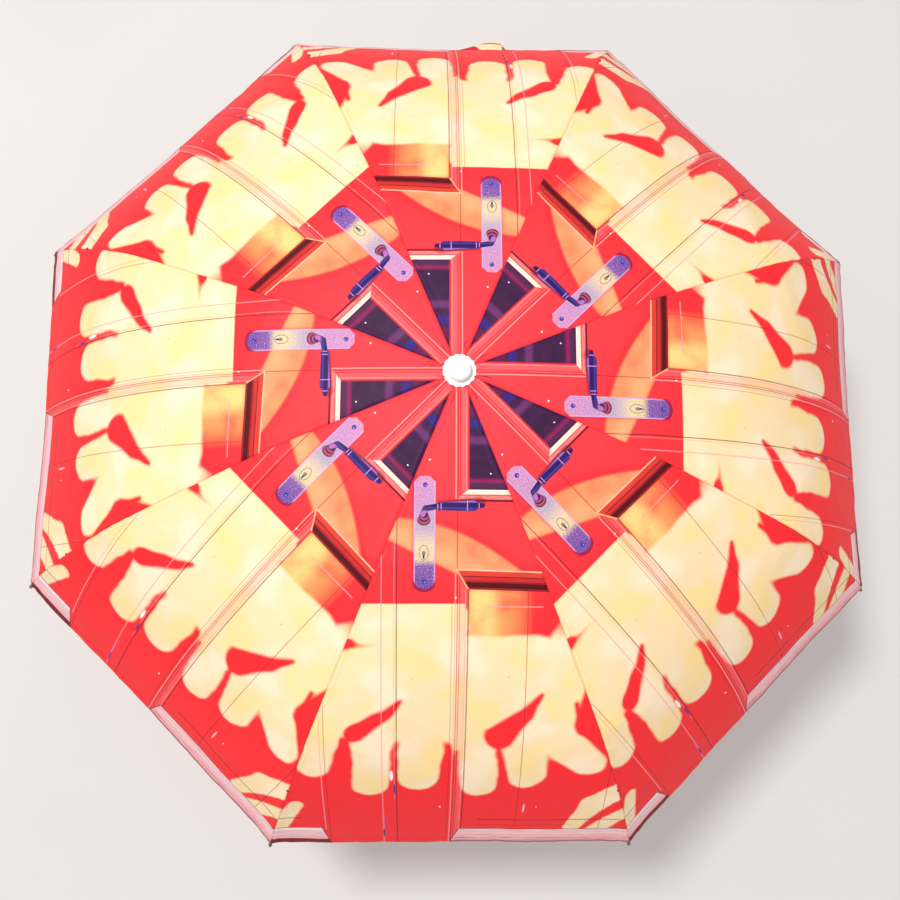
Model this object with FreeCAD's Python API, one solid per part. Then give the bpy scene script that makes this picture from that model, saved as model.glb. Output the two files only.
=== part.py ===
"""Three-fold umbrella with eight ribs, shown open.

Frame: +Z up along the shaft, origin at the centre of the handle's bottom face.
The ribs stand at 22.5 degrees + 45 degrees x k, so that a canopy panel faces +X.
Each rib set lies in its own upright plane: x outward, z up. It is built at azimuth 0 and turned.
"""
import os
import FreeCAD
import Part
from math import atan2, cos, degrees, hypot, radians, sin, sqrt, tan

# ---- driving dimensions, in millimetres and degrees ----
RIBS = 8
STEP_ANGLE = 360.0 / RIBS
FIRST_RIB = STEP_ANGLE / 2

TIP_R = 480.0  # shaft axis to rib tip, open
RIM_Z = 376.0  # height of the rib tips, open
DOME_RISE = 0.438  # of TIP_R, rim to crown
FLAT_SHARE = 0.133  # of TIP_R, the part of the rise that goes with the square of the radius
JOINT_1_R = 180.0
JOINT_2_R = 344.0

CLOTH = 0.5
CLOTH_HOLE_R = 9.0  # the opening at the crown, hidden by the washer
CLOTH_GAP_CROWN = 3.6  # rib centre line to the cloth's underside
CLOTH_GAP_1 = 5.2
CLOTH_GAP_2 = 3.6
CLOTH_END_R = 474.0
TIP_DROP = 6.0  # the rib's tip below the cloth's line

PIVOT_R = 10.5  # crown and runner pivots
RIB_W = 3.4
RIB_H = 3.2
RIB_WALL = 0.5
RIB_TRIM = 0.2  # the middle rib is this much slimmer, so that it nests in the main rib
CHANNEL_START = 7.5  # crown pivot to the main rib's channel
CHANNEL_STOP = 2.4  # short of a joint
BLADE_L = 11.0
ROOT = (6.0, 10.0)  # the middle rib's solid root
LUG_SHORT = 0.4  # a lug stops this far short of its pin
BLADE_H = 2.2
TONGUE_H = 2.0
EAR_BACK = 7.0  # a joint's ears run from here to just past it
EAR_PAST = 1.0
ROD_TONGUE_TILT = 9.0
ROD_TONGUE_H = 1.8
ROD_SHARES = (0.03, 0.975)  # the rod's ends, as shares of the outer rib
SLEEVE_SHARES = (0.035, 0.1)
SLEEVE_EXTRA = 0.35
RIVET_PROUD = 0.6
BLADE_W = 2.2  # flat ends, which go between ears or into slots
SLOT_W = 2.8
EAR_GAP = 2.4
EAR_R = 1.5
PIN_R = 0.7
PIN_PLAY = 0.05
WIRE_R = 0.6
EYE_R = 0.75
PIN_1_UP = 3.0  # first joint's pin above the rib's centre line
PIN_2_DOWN = 2.6
PIN_S_DOWN = 3.4
ROD_R = 1.3
ROD_BOW = 8.0  # how far the outer rib bows out from its chord
TIP_CAP_R = 1.9
TIP_CAP_L = 12.0

STRETCHER_AT = 78.0  # crown pivot to stretcher pivot, along the main rib
STRETCHER_L = 92.0
STRETCHER_W = 3.0
STRETCHER_H = 2.6
STRETCHER_BLADES = (24.0, 10.0)  # inner and outer flat ends
STRETCHER_CHANNEL = (20.0, 6.0)  # channel ends, from each end

CROWN_R = 13.0
CROWN_H = 6.0
RING_R = 12.5
RING_H = 6.0
CROWN_SKIRT = 10.0
RUNNER_LIP = 3.0
RUNNER_LIP_PROUD = 2.0
SLOT_FLOOR_R = 8.6
RUNNER_BORE_R = 5.08
RUNNER_NECK_R = 7.4
RUNNER_SLEEVE_L = 24.0
BUTTON_W = 3.6
BUTTON_H = 9.0
BUTTON_PLAY = 0.06
BUTTON_R = (8.0, 11.4)  # inner and outer end of the runner's release button
BUTTON_POCKET_R = 6.5
BUTTON_CHAMFER = 0.8
SPRING_R = (1.1, 1.5)
BOSS_W = 5.6
BOSS_R = 10.0

TUBE_R = (3.85, 4.40, 5.00)  # lower, middle, top
TUBE_WALL = 0.5
HANDLE_R = 15.0
HANDLE_TOP = 60.0
HANDLE_ROUND = 4.0
HANDLE_WALL = 4.0
PLUG_H = 4.0
PLUG_STEM_TOP = 16.0
COLLAR_TOP = 68.0
COLLAR_R = 11.0
COLLAR_CHAMFER = 2.0
LOWER_TUBE_BOTTOM = 8.0
LOWER_TUBE_TOP = 238.0
MIDDLE_TUBE_BOTTOM = 220.0
MIDDLE_TUBE_TOP = 404.0
TOP_TUBE_BOTTOM = 372.0
DETENT_L = 14.0
DETENT_WALL = 0.4
DETENT_SLIT = 1.2

CAP_R = 10.5
CAP_H = 8.0
CAP_ROUND = 3.0
CAP_STEM_R = 3.0
NECK_BELOW = (6.0, 2.0)  # the stem's neck in the top tube, below the crown's pivots
WASHER_R = 15.0
WASHER_LEVELS = (0.2, 1.8)  # above the top of the cloth
SCALLOP_R = 1.9
SCALLOP_OUT = 1.2  # scallop centres beyond the washer's edge

STRAP_W = 24.0
STRAP_T = 1.2
STRAP_X = (-2.0, 44.0, 62.0)  # start, furthest point and end of the folded flap
STRAP_REACH = (-2.0, 13.0, 2.0)  # beyond the hem at those places
STRAP_INSET = 14.0
STRAP_DROP = 4.0
STRAP_TAIL = 66.0
TAPE_MARGIN = 2.0
TAPE_T = 1.0
TAPE_L = 22.0

CUT = 9.0  # how far a cutting tool passes through what it cuts
FAR = 40.0  # a tool that cuts right out of a part
EDGE = 0.1  # tolerance for finding an edge by its place

V = FreeCAD.Vector
UP = V(0, 0, 1)
SIDE = V(0, 1, 0)
HOME = V(0, 0, 0)


# ---- the rib plane ----
def dome_z(r):
    """Height of the cloth's top along a rib at radius r."""
    rho = r / TIP_R
    round_share = DOME_RISE - FLAT_SHARE
    return RIM_Z + TIP_R * (FLAT_SHARE * (1 - rho**2) + round_share * (1 - rho**4))


def polar(start, length, angle):
    return (start[0] + length * cos(radians(angle)), start[1] + length * sin(radians(angle)))


def slope(a, b):
    return degrees(atan2(b[1] - a[1], b[0] - a[0]))


def gap(a, b):
    return hypot(b[0] - a[0], b[1] - a[1])


CROWN_PIVOT = (PIVOT_R, dome_z(PIVOT_R) - CLOTH - CLOTH_GAP_CROWN)
JOINT_1 = (JOINT_1_R, dome_z(JOINT_1_R) - CLOTH - CLOTH_GAP_1)
JOINT_2 = (JOINT_2_R, dome_z(JOINT_2_R) - CLOTH - CLOTH_GAP_2)
TIP = (TIP_R, RIM_Z - TIP_DROP)
MAIN_SLOPE = slope(CROWN_PIVOT, JOINT_1)
MIDDLE_SLOPE = slope(JOINT_1, JOINT_2)
OUTER_SLOPE = slope(JOINT_2, TIP)
PIN_1 = polar(JOINT_1, PIN_1_UP, MAIN_SLOPE + 90)
PIN_2 = polar(JOINT_2, PIN_2_DOWN, MIDDLE_SLOPE - 90)
PIN_S = polar(polar(CROWN_PIVOT, STRETCHER_AT, MAIN_SLOPE), PIN_S_DOWN, MAIN_SLOPE - 90)
RUNNER_PIVOT = (PIVOT_R, PIN_S[1] - sqrt(STRETCHER_L**2 - (PIN_S[0] - PIVOT_R) ** 2))
STRETCHER_SLOPE = slope(RUNNER_PIVOT, PIN_S)


# ---- helpers ----
def cylinder(r, z0, z1):
    return Part.makeCylinder(r, z1 - z0, V(0, 0, z0))


def pipe(r_out, r_in, z0, z1):
    return cylinder(r_out, z0, z1).cut(cylinder(r_in, z0 - 1, z1 + 1))


def cross_pin(at, r, width):
    """A pin along the tangential direction, centred on the rib plane."""
    return Part.makeCylinder(r, width, V(at[0], -width / 2, at[1]), SIDE)


def bar(start, angle, x0, x1, z0, z1, width):
    """A block in the rib plane's slanted frame: x along the rib from start, z across it."""
    block = Part.makeBox(x1 - x0, width, z1 - z0, V(x0, -width / 2, z0))
    block.rotate(HOME, SIDE, -angle)
    block.translate(V(start[0], 0, start[1]))
    return block


def channel(start, angle, x0, x1, width, height, wall):
    """A U channel open on its underside."""
    solid = bar(start, angle, x0, x1, -height / 2, height / 2, width)
    inside = bar(start, angle, x0 - 1, x1 + 1, -height, height / 2 - wall, width - 2 * wall)
    return solid.cut(inside)


def ears(start, angle, x0, x1, z0, z1, pin):
    """Two side plates round a pin, in the slanted frame."""
    plates = bar(start, angle, x0, x1, z0, z1, RIB_W).fuse(cross_pin(pin, EAR_R, RIB_W))
    return plates.cut(bar(start, angle, x0 - CUT, x1 + CUT, z0 - CUT, z1 + CUT, EAR_GAP))


def around(shape, k):
    """Turn a shape built at azimuth 0 to rib k's azimuth."""
    turned = shape.copy()
    turned.rotate(HOME, UP, FIRST_RIB + STEP_ANGLE * k)
    return turned


def slots(r_floor, z0, z1, width):
    """Eight radial slots, open outwards."""
    one = Part.makeBox(FAR, width, z1 - z0, V(r_floor, -width / 2, z0))
    return Part.makeCompound([around(one, k) for k in range(RIBS)])


def save(shape, node):
    shape.exportStep("parts/%s.step" % node)


def top_edges(shape, z):
    """The edges that lie at or above height z."""
    return [e for e in shape.Edges if e.BoundBox.ZMin > z - EDGE]


# ---- handle and shaft ----
def handle_grip():
    body = cylinder(HANDLE_R, 0, HANDLE_TOP)
    body = body.makeFillet(HANDLE_ROUND, top_edges(body, HANDLE_TOP))
    body = body.cut(cylinder(HANDLE_R - HANDLE_WALL, -1, PLUG_H))
    return body.cut(cylinder(TUBE_R[0], PLUG_H, HANDLE_TOP + 1))


def handle_end_plug():
    plug = cylinder(HANDLE_R - HANDLE_WALL, 0, PLUG_H)
    stem = cylinder(TUBE_R[0] - TUBE_WALL, PLUG_H, PLUG_STEM_TOP)
    return plug.fuse(stem).removeSplitter()


def handle_collar():
    ring = pipe(COLLAR_R, TUBE_R[0], HANDLE_TOP, COLLAR_TOP)
    rim = [e for e in top_edges(ring, COLLAR_TOP) if e.BoundBox.XLength > COLLAR_R]
    return ring.makeChamfer(COLLAR_CHAMFER, rim)


def tube(index, z0, z1):
    r = TUBE_R[index]
    return pipe(r, r - TUBE_WALL, z0, z1)


def detent_clip(r, z_top):
    """A split spring sleeve in the top of a tube, which grips the tube around it."""
    inside = r - TUBE_WALL
    sleeve = pipe(inside, inside - DETENT_WALL, z_top - DETENT_L, z_top)
    slit = Part.makeBox(FAR, DETENT_SLIT, DETENT_L + 2, V(0, -DETENT_SLIT / 2, z_top - DETENT_L - 1))
    return sleeve.cut(slit)


def top_tube():
    r = TUBE_R[2]
    return pipe(r, r - TUBE_WALL, TOP_TUBE_BOTTOM, CROWN_PIVOT[1] + CROWN_H / 2)


# ---- crown and runner ----
def crown():
    low = CROWN_PIVOT[1] - CROWN_H / 2
    high = CROWN_PIVOT[1] + CROWN_H / 2
    hub = pipe(CROWN_R, TUBE_R[2], low, high)
    hub = hub.fuse(pipe(SLOT_FLOOR_R, TUBE_R[2], low - CROWN_SKIRT, low))
    hub = hub.cut(slots(SLOT_FLOOR_R, low - 1, high + 1, SLOT_W))
    return hub.cut(ring_wire(WIRE_R))


def ring_wire(r):
    return Part.makeTorus(PIVOT_R, r, V(0, 0, CROWN_PIVOT[1]), UP)


def runner():
    pivot = RUNNER_PIVOT[1]
    low = pivot - RING_H / 2
    high = pivot + RING_H / 2
    bottom = low - RUNNER_SLEEVE_L
    solid = cylinder(RING_R, low, high).fuse(cylinder(RUNNER_NECK_R, bottom, high + 2))
    solid = solid.fuse(cylinder(RUNNER_NECK_R + RUNNER_LIP_PROUD, bottom, bottom + RUNNER_LIP))
    solid = solid.cut(slots(SLOT_FLOOR_R, low - 1, high + 1, SLOT_W))
    solid = solid.fuse(button_block(0, BOSS_R, BOSS_W, BUTTON_H + 3))
    solid = solid.cut(cylinder(RUNNER_BORE_R, bottom - 1, high + 3))
    pocket = button_block(BUTTON_POCKET_R, FAR, BUTTON_W + 2 * BUTTON_PLAY, BUTTON_H + 2 * BUTTON_PLAY)
    return solid.cut(pocket).removeSplitter()


def button_block(r0, r1, width, height):
    """A block on +X at the height of the runner's release button."""
    middle = RUNNER_PIVOT[1] - RING_H / 2 - RUNNER_SLEEVE_L / 2
    return Part.makeBox(r1 - r0, width, height, V(r0, -width / 2, middle - height / 2))


def runner_button():
    block = button_block(BUTTON_R[0], BUTTON_R[1], BUTTON_W, BUTTON_H)
    face = [e for e in block.Edges if e.BoundBox.XMin > BUTTON_R[1] - EDGE]
    return block.makeChamfer(BUTTON_CHAMFER, [e for e in face if e.BoundBox.YLength > 1])


def runner_button_spring():
    middle = RUNNER_PIVOT[1] - RING_H / 2 - RUNNER_SLEEVE_L / 2
    length = BUTTON_R[0] - BUTTON_POCKET_R
    at = V(BUTTON_POCKET_R, 0, middle)
    along = V(1, 0, 0)
    coil = Part.makeCylinder(SPRING_R[1], length, at, along)
    return coil.cut(Part.makeCylinder(SPRING_R[0], CUT, at, along))


# ---- ribs ----
def main_rib():
    length = gap(CROWN_PIVOT, JOINT_1)
    body = channel(CROWN_PIVOT, MAIN_SLOPE, CHANNEL_START, length - CHANNEL_STOP, RIB_W, RIB_H, RIB_WALL)
    blade = bar(CROWN_PIVOT, MAIN_SLOPE, 0, BLADE_L, -BLADE_H / 2, BLADE_H / 2, BLADE_W)
    blade = blade.fuse(cross_pin(CROWN_PIVOT, EAR_R, BLADE_W))
    socket = bar(CROWN_PIVOT, MAIN_SLOPE, CHANNEL_START, BLADE_L, -RIB_H / 2, RIB_H / 2, RIB_W)
    body = body.fuse([blade, socket])
    joint = ears(CROWN_PIVOT, MAIN_SLOPE, length - EAR_BACK, length + EAR_PAST, 0, PIN_1_UP, PIN_1)
    low, high = STRETCHER_AT - EAR_R, STRETCHER_AT + EAR_R
    hanger = ears(CROWN_PIVOT, MAIN_SLOPE, low, high, -PIN_S_DOWN, -1, PIN_S)
    body = body.fuse([joint, hanger])
    body = body.cut([eye(CROWN_PIVOT, EYE_R), eye(PIN_1, PIN_R), eye(PIN_S, PIN_R)])
    return body.removeSplitter()


def rivets(points):
    return [cross_pin(p, PIN_R, RIB_W + RIVET_PROUD) for p in points]


def eye(at, r):
    return cross_pin(at, r, CUT)


def middle_rib():
    length = gap(JOINT_1, JOINT_2)
    width, height = RIB_W - RIB_TRIM, RIB_H - RIB_TRIM
    body = channel(JOINT_1, MIDDLE_SLOPE, ROOT[0], length - CHANNEL_STOP, width, height, RIB_WALL)
    tongue = bar(JOINT_1, MIDDLE_SLOPE, -RIB_TRIM, BLADE_L, -TONGUE_H / 2, TONGUE_H / 2, BLADE_W)
    tongue = tongue.fuse(bar(JOINT_1, MIDDLE_SLOPE, 0, 2 * EAR_R, 0, PIN_1_UP - LUG_SHORT, BLADE_W))
    tongue = tongue.fuse(cross_pin(PIN_1, EAR_R, BLADE_W))
    root = bar(JOINT_1, MIDDLE_SLOPE, ROOT[0], ROOT[1], -height / 2, height / 2, width)
    joint = ears(JOINT_1, MIDDLE_SLOPE, length - EAR_BACK, length + EAR_PAST, -PIN_2_DOWN, 0, PIN_2)
    body = body.fuse([tongue, root, joint])
    body = body.cut(eye(PIN_1, PIN_R + PIN_PLAY))
    return body.cut(eye(PIN_2, PIN_R)).removeSplitter()


def rod_arc(r, share_0, share_1):
    """A round rod along the outer rib's arc, between two shares of its length."""
    chord = gap(JOINT_2, TIP)
    bend_r = (chord**2 / 4 + ROD_BOW**2) / (2 * ROD_BOW)
    half = degrees(atan2(chord / 2, bend_r - ROD_BOW))
    middle = polar(JOINT_2, chord / 2, OUTER_SLOPE)
    centre = polar(middle, bend_r - ROD_BOW, OUTER_SLOPE - 90)
    start = OUTER_SLOPE + 90 + half
    begin = start - 2 * half * share_0
    turn = 2 * half * (share_1 - share_0)
    at = polar(centre, bend_r, begin)
    facing = V(sin(radians(begin)), 0, -cos(radians(begin)))
    disc = Part.Face(Part.Wire([Part.makeCircle(r, V(at[0], 0, at[1]), facing)]))
    return disc.revolve(V(centre[0], 0, centre[1]), SIDE, turn)


def outer_rib():
    angle = OUTER_SLOPE + ROD_TONGUE_TILT
    tongue = bar(JOINT_2, angle, -RIB_TRIM, ROOT[1], -ROD_TONGUE_H / 2, ROD_TONGUE_H / 2, BLADE_W)
    tongue = tongue.fuse(bar(JOINT_2, angle, 0, 2 * EAR_R, -PIN_2_DOWN + LUG_SHORT, 0, BLADE_W))
    tongue = tongue.fuse(cross_pin(PIN_2, EAR_R, BLADE_W))
    sleeve = rod_arc(ROD_R + SLEEVE_EXTRA, SLEEVE_SHARES[0], SLEEVE_SHARES[1])
    body = rod_arc(ROD_R, ROD_SHARES[0], ROD_SHARES[1]).fuse([tongue, sleeve])
    return body.cut(eye(PIN_2, PIN_R + PIN_PLAY)).removeSplitter()


def tip_cap():
    share = TIP_CAP_L / gap(JOINT_2, TIP)
    return rod_arc(TIP_CAP_R, 1 - share, 1).cut(rod_arc(ROD_R, 1 - 2 * share, ROD_SHARES[1]))


def stretcher():
    length = STRETCHER_L
    start, stop = STRETCHER_CHANNEL[0], length - STRETCHER_CHANNEL[1]
    body = channel(RUNNER_PIVOT, STRETCHER_SLOPE, start, stop, STRETCHER_W, STRETCHER_H, RIB_WALL)
    half = TONGUE_H / 2
    inner = bar(RUNNER_PIVOT, STRETCHER_SLOPE, 0, STRETCHER_BLADES[0], -half, half, BLADE_W)
    outer = bar(RUNNER_PIVOT, STRETCHER_SLOPE, length - STRETCHER_BLADES[1], length, -half, half, BLADE_W)
    body = body.fuse([inner, outer, cross_pin(RUNNER_PIVOT, EAR_R, BLADE_W)])
    body = body.fuse(cross_pin(PIN_S, EAR_R - RIB_TRIM, BLADE_W))
    body = body.cut(eye(RUNNER_PIVOT, EYE_R))
    return body.cut(eye(PIN_S, PIN_R + PIN_PLAY)).removeSplitter()


# ---- canopy ----
def panel_profile(lift):
    """The seam's line, lifted, seen in the middle plane of a panel."""
    narrow = cos(radians(STEP_ANGLE / 2))
    radii = (CLOTH_HOLE_R, JOINT_1_R, JOINT_2_R)
    points = [V(r * narrow, 0, dome_z(r) + lift) for r in radii]
    end = V(CLOTH_END_R * narrow, 0, dome_z(CLOTH_END_R) + lift)
    middle_r = (JOINT_2_R + CLOTH_END_R) / 2
    middle = V(middle_r * narrow, 0, dome_z(middle_r) + lift)
    return points, middle, end


def canopy_panel(k):
    """One panel: level straight threads between two seams, so it bends only outwards."""
    top, top_mid, top_end = panel_profile(0)
    low, low_mid, low_end = panel_profile(-CLOTH)
    edges = [Part.makeLine(top[0], top[1]), Part.makeLine(top[1], top[2])]
    edges.append(Part.Arc(top[2], top_mid, top_end).toShape())
    edges.append(Part.makeLine(top_end, low_end))
    edges.append(Part.Arc(low_end, low_mid, low[2]).toShape())
    edges += [Part.makeLine(low[2], low[1]), Part.makeLine(low[1], low[0])]
    edges.append(Part.makeLine(low[0], top[0]))
    face = Part.Face(Part.Wire(edges))
    half = TIP_R * sin(radians(STEP_ANGLE / 2))
    face.translate(V(0, -half, 0))
    slab = face.extrude(V(0, 2 * half, 0))
    reach = TIP_R * 1.2
    wide = reach * tan(radians(STEP_ANGLE / 2))
    wedge = Part.makePolygon([V(0, 0, 0), V(reach, -wide, 0), V(reach, wide, 0), V(0, 0, 0)])
    prism = Part.Face(wedge).extrude(V(0, 0, 2 * TIP_R))
    solid = slab.common(prism)
    solid.rotate(HOME, UP, STEP_ANGLE * k)
    return solid


def canopy_washer():
    """A scalloped disc that clamps the cloth on the crown."""
    z = dome_z(0)
    disc = pipe(WASHER_R, CAP_STEM_R, z + WASHER_LEVELS[0], z + WASHER_LEVELS[1])
    bite_r = WASHER_R + SCALLOP_OUT
    bites = []
    for k in range(2 * RIBS):
        turn = radians(k * 360.0 / (2 * RIBS))
        place = V(bite_r * cos(turn), bite_r * sin(turn), z - 1)
        bites.append(Part.makeCylinder(SCALLOP_R, CUT, place))
    return disc.cut(Part.makeCompound(bites))


def canopy_cap():
    """The round button on top, with a stem down into the top tube."""
    z = dome_z(0) + WASHER_LEVELS[1]
    button = cylinder(CAP_R, z, z + CAP_H)
    button = button.makeFillet(CAP_ROUND, top_edges(button, z + CAP_H))
    neck_top = CROWN_PIVOT[1] - NECK_BELOW[1]
    stem = cylinder(CAP_STEM_R, neck_top, z)
    neck = cylinder(TUBE_R[2] - TUBE_WALL, CROWN_PIVOT[1] - NECK_BELOW[0], neck_top)
    return button.fuse([stem, neck]).removeSplitter()


# ---- closure strap ----
def strap_corner():
    """Y of the hem's middle, and the height of the strap's underside."""
    return CLOTH_END_R * cos(radians(STEP_ANGLE / 2)), dome_z(CLOTH_END_R) - STRAP_DROP


def closure_strap():
    """The strap that ties the closed umbrella, sewn under the back hem, its end folded down."""
    hem_y, z = strap_corner()
    inside = hem_y - STRAP_INSET
    points = [V(STRAP_X[0], inside, z), V(STRAP_X[2], inside, z)]
    points += [V(STRAP_X[k], hem_y + STRAP_REACH[k], z) for k in (2, 1, 0)]
    flap = Part.Face(Part.makePolygon(points + [points[0]])).extrude(V(0, 0, STRAP_T))
    tail = Part.makeBox(STRAP_W, STRAP_T, STRAP_TAIL, V(STRAP_X[2] - STRAP_W, inside, z - STRAP_TAIL))
    return flap.fuse(tail).removeSplitter()


def closure_tab():
    """The hook tape on the inner side of the strap's end."""
    hem_y, z = strap_corner()
    width = STRAP_W - 2 * TAPE_MARGIN
    x = STRAP_X[2] - STRAP_W + TAPE_MARGIN
    corner = V(x, hem_y - STRAP_INSET - TAPE_T, z - STRAP_TAIL + TAPE_MARGIN)
    return Part.makeBox(width, TAPE_T, TAPE_L, corner)


def export_single_pieces():
    save(handle_grip(), "handle_grip")
    save(handle_end_plug(), "handle_end_plug")
    save(handle_collar(), "handle_collar")
    save(tube(0, LOWER_TUBE_BOTTOM, LOWER_TUBE_TOP), "lower_tube")
    save(tube(1, MIDDLE_TUBE_BOTTOM, MIDDLE_TUBE_TOP), "middle_tube")
    save(top_tube(), "top_tube")
    save(detent_clip(TUBE_R[0], LOWER_TUBE_TOP), "lower_tube_detent")
    save(detent_clip(TUBE_R[1], MIDDLE_TUBE_TOP), "middle_tube_detent")
    save(crown(), "crown")
    save(ring_wire(WIRE_R), "crown_ring_wire")
    save(canopy_washer(), "canopy_washer")
    save(canopy_cap(), "canopy_cap")
    save(runner(), "runner")
    save(runner_button(), "runner_button")
    save(runner_button_spring(), "runner_button_spring")
    save(closure_strap(), "closure_strap")
    save(closure_tab(), "closure_tab")


def export_rib_sets():
    main = Part.makeCompound([main_rib()] + rivets([PIN_1, PIN_S]))
    middle = Part.makeCompound([middle_rib()] + rivets([PIN_2]))
    outer = Part.makeCompound([outer_rib(), tip_cap()])
    arm = stretcher()
    for k in range(RIBS):
        save(around(main, k), "main_rib_%d" % (k + 1))
        save(around(middle, k), "middle_rib_%d" % (k + 1))
        save(around(outer, k), "outer_rib_%d" % (k + 1))
        save(around(arm, k), "stretcher_%d" % (k + 1))


def export_canopy():
    for k in range(RIBS):
        save(canopy_panel(k), "canopy_panel_%d" % (k + 1))


os.makedirs("parts", exist_ok=True)
export_single_pieces()
export_rib_sets()
export_canopy()
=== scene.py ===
# The looks of the folding umbrella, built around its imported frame. Metres, +Z up along the shaft.
import math
import bpy
from mathutils import Matrix, Vector, noise


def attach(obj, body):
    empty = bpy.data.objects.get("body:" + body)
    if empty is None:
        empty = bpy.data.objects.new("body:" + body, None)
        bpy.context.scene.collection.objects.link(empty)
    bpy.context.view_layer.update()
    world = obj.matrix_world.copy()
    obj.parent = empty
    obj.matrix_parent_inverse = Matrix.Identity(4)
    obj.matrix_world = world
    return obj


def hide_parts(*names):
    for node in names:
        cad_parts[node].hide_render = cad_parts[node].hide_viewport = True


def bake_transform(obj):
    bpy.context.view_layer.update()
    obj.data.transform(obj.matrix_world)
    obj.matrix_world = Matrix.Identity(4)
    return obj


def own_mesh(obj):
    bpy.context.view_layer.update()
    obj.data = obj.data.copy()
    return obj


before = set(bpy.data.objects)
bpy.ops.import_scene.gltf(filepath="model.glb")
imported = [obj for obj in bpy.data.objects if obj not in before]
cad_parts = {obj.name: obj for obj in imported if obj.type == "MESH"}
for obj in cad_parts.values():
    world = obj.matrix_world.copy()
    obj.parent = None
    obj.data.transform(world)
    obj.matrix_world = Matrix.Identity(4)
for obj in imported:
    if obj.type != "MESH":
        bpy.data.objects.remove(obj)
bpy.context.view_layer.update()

# ---- the umbrella's driving dimensions, as in the frame ----
RIBS = 8
STEP = 2 * math.pi / RIBS
HALF = STEP / 2
TIP_R = 0.480
RIM_Z = 0.376
DOME_RISE = 0.438
FLAT_SHARE = 0.133
EYE_R = 0.0095  # where the cloth begins, around the crown
JOINT_1_R = 0.180
JOINT_2_R = 0.344
HEM_R = 0.474
CLOTH = 0.0004  # thickness
SEAM_SLACK = 0.75  # share of the way from the dome to the chord that the cloth sinks at a seam
MIDDLE_SLACK = 0.15  # the same in the middle of a gore
HEM_DIP = 0.0045  # how far the middle of a gore sags at the tips' radius
PRINT_LENGTH = 0.508  # of one gore's print, from the shaft's axis to the hem
UV_SHIFT = 0.25  # keeps print coordinates positive
SECTIONS = (  # name, rib, start and end radius, columns, rows, share of the width kept when folded
    ("inner", "main_rib", EYE_R, JOINT_1_R, 16, 46, 0.085),
    ("middle", "middle_rib", JOINT_1_R, JOINT_2_R, 20, 56, 0.055),
    ("outer", "outer_rib", JOINT_2_R, HEM_R, 24, 60, 0.105),
)


def dome(r):
    rho = r / TIP_R
    round_share = DOME_RISE - FLAT_SHARE
    return RIM_Z + TIP_R * (FLAT_SHARE * (1 - rho**2) + round_share * (1 - rho**4))


def straight(r):
    """Height of the cloth's chord between two rib joints; past the second joint the rib is bowed."""
    if r >= JOINT_2_R:
        return dome(r)
    low, high = (EYE_R, JOINT_1_R) if r < JOINT_1_R else (JOINT_1_R, JOINT_2_R)
    share = (r - low) / (high - low)
    return dome(low) * (1 - share) + dome(high) * share


def station(r, t):
    """How far out along its rib a point lies: the cloth folds on lines that run square to the ribs."""
    return r * (math.cos(HALF) ** 2 + t * math.sin(HALF) ** 2)


def cloth_height(r, t):
    """Height at rib radius r; t is 0 in the middle of a gore and 1 at its seams."""
    q = station(r, t)
    share = SEAM_SLACK - (SEAM_SLACK - MIDDLE_SLACK) * (1 - t * t)
    slack = share * (dome(q) - straight(q))
    dip = HEM_DIP * (r / TIP_R) ** 2 * (1 - t * t)
    return dome(r) - slack - dip


MILLIMETRES = 480  # steps of the table of lengths


def arc_table():
    """Length along the middle of a gore, from the shaft's axis out to each millimetre of rib radius."""
    lengths = [0.0]
    for i in range(1, MILLIMETRES + 1):
        step = math.hypot(0.001 * math.cos(HALF), dome(i / 1000) - dome((i - 1) / 1000))
        lengths.append(lengths[-1] + step)
    return lengths


ARC = arc_table()


def arc(r):
    i = min(int(r * 1000), MILLIMETRES - 1)
    share = r * 1000 - i
    return ARC[i] * (1 - share) + ARC[i + 1] * share


def clean(obj):
    """Make obj the only selected and the active object."""
    bpy.ops.object.select_all(action="DESELECT")
    obj.select_set(True)
    bpy.context.view_layer.objects.active = obj


def apply_modifier(obj, kind, **settings):
    clean(obj)
    modifier = obj.modifiers.new(kind.lower(), kind)
    for key, value in settings.items():
        setattr(modifier, key, value)
    bpy.ops.object.modifier_apply(modifier=modifier.name)


def smooth(obj, degrees=35):
    clean(obj)
    bpy.ops.object.shade_smooth_by_angle(angle=math.radians(degrees))


def settle(obj):
    """Put the object's place into its mesh."""
    clean(obj)
    bpy.ops.object.transform_apply(location=True, rotation=True, scale=True)


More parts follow.
